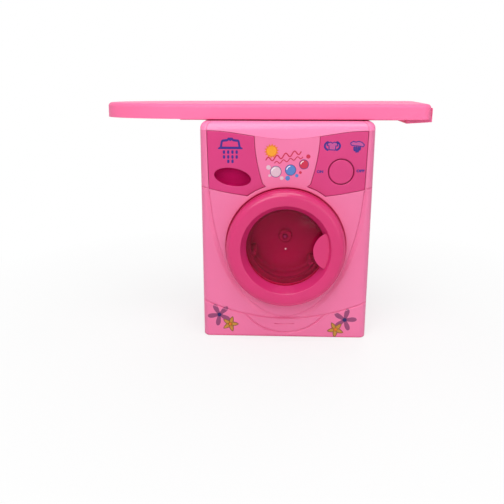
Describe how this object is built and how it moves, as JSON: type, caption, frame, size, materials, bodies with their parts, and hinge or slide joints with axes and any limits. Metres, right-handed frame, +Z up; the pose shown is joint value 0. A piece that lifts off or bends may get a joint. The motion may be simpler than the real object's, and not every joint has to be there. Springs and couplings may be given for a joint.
{
  "type": "toy washing machine",
  "caption": "Toy front-loading washing machine with a hinged round door, a geared drum, a turning dial and an ironing board that lifts off the top.",
  "frame": {"origin": "centre of the cabinet's base, on the surface that it stands on", "axes": "+X to the right seen from the front, +Y to the back, +Z up; the door faces -Y"},
  "size_m": [0.3871, 0.149, 0.2813],
  "materials": {
    "body_pink": "satin moulded",
    "cover_pink": "gloss moulded",
    "board_pink": "satin moulded",
    "dark_pink": "satin moulded",
    "ring_pink": "gloss moulded",
    "window_tint": "clear tinted plastic",
    "drum_pink": "satin moulded",
    "white_plastic": "moulded",
    "steel": "plated",
    "brass": "turned",
    "cell_wrap": "printed wrap",
    "wire_red": "PVC insulation"
  },
  "bodies": {
    "cabinet": {"front_panel": "body_pink", "rear_housing": "body_pink", "top_cover": "cover_pink", "left_control_panel": "dark_pink", "right_control_panel": "dark_pink", "case_screws": "steel", "cover_screws": "steel", "hinge_pin": "steel", "gearbox_front_plate": "white_plastic", "gearbox_rear_plate": "white_plastic", "gearbox_screws": "steel", "drum_bush": "brass", "idler_axle": "steel", "motor": "steel", "motor_strap": "steel", "strap_screws": "steel", "dial_switch": "white_plastic", "battery_tray": "white_plastic", "batteries": "cell_wrap", "battery_contacts": "steel", "battery_door": "body_pink", "battery_door_screw": "steel", "wiring": "wire_red"},
    "drum": {"drum": "drum_pink", "drum_shaft": "steel", "drum_gear": "white_plastic", "drum_screw": "steel"},
    "idler": {"idler_gear": "white_plastic"},
    "rotor": {"motor_shaft": "steel", "pinion": "brass"},
    "door": {"door_ring": "ring_pink", "door_window": "window_tint", "door_back_frame": "ring_pink", "door_screws": "steel", "door_handle": "ring_pink"},
    "dial": {"program_dial": "dark_pink", "dial_cam": "white_plastic", "dial_screw": "steel"},
    "board": {"ironing_board": "board_pink", "board_rail": "board_pink", "iron_rest": "dark_pink", "board_screws": "steel"}
  },
  "joints": [
    {"name": "door_hinge", "type": "hinge", "parent": "cabinet", "child": "door", "pos_m": [-0.063, -0.072, 0.116], "axis": [0, 0, -1], "range_deg": [0, 85]},
    {"name": "drum_spin", "type": "hinge", "parent": "cabinet", "child": "drum", "pos_m": [0, 0, 0.116], "axis": [0, 1, 0], "continuous": true},
    {"name": "idler_spin", "type": "hinge", "parent": "cabinet", "child": "idler", "pos_m": [0.0145, 0, 0.09088], "axis": [0, 1, 0], "continuous": true},
    {"name": "motor_spin", "type": "hinge", "parent": "cabinet", "child": "rotor", "pos_m": [0.0385, 0, 0.09088], "axis": [0, 1, 0], "continuous": true},
    {"name": "dial_turn", "type": "hinge", "parent": "cabinet", "child": "dial", "pos_m": [0.0624, -0.065, 0.2062], "axis": [0, -1, 0], "range_deg": [0, 180]},
    {"name": "board_lift", "type": "slide", "parent": "cabinet", "child": "board", "axis": [0, 0, 1], "range_m": [0, 0.06]}
  ],
  "couplings": [
    {"joint": "idler_spin", "follows": "drum_spin", "ratio": -3.1429},
    {"joint": "motor_spin", "follows": "drum_spin", "ratio": 9.4286}
  ]
}
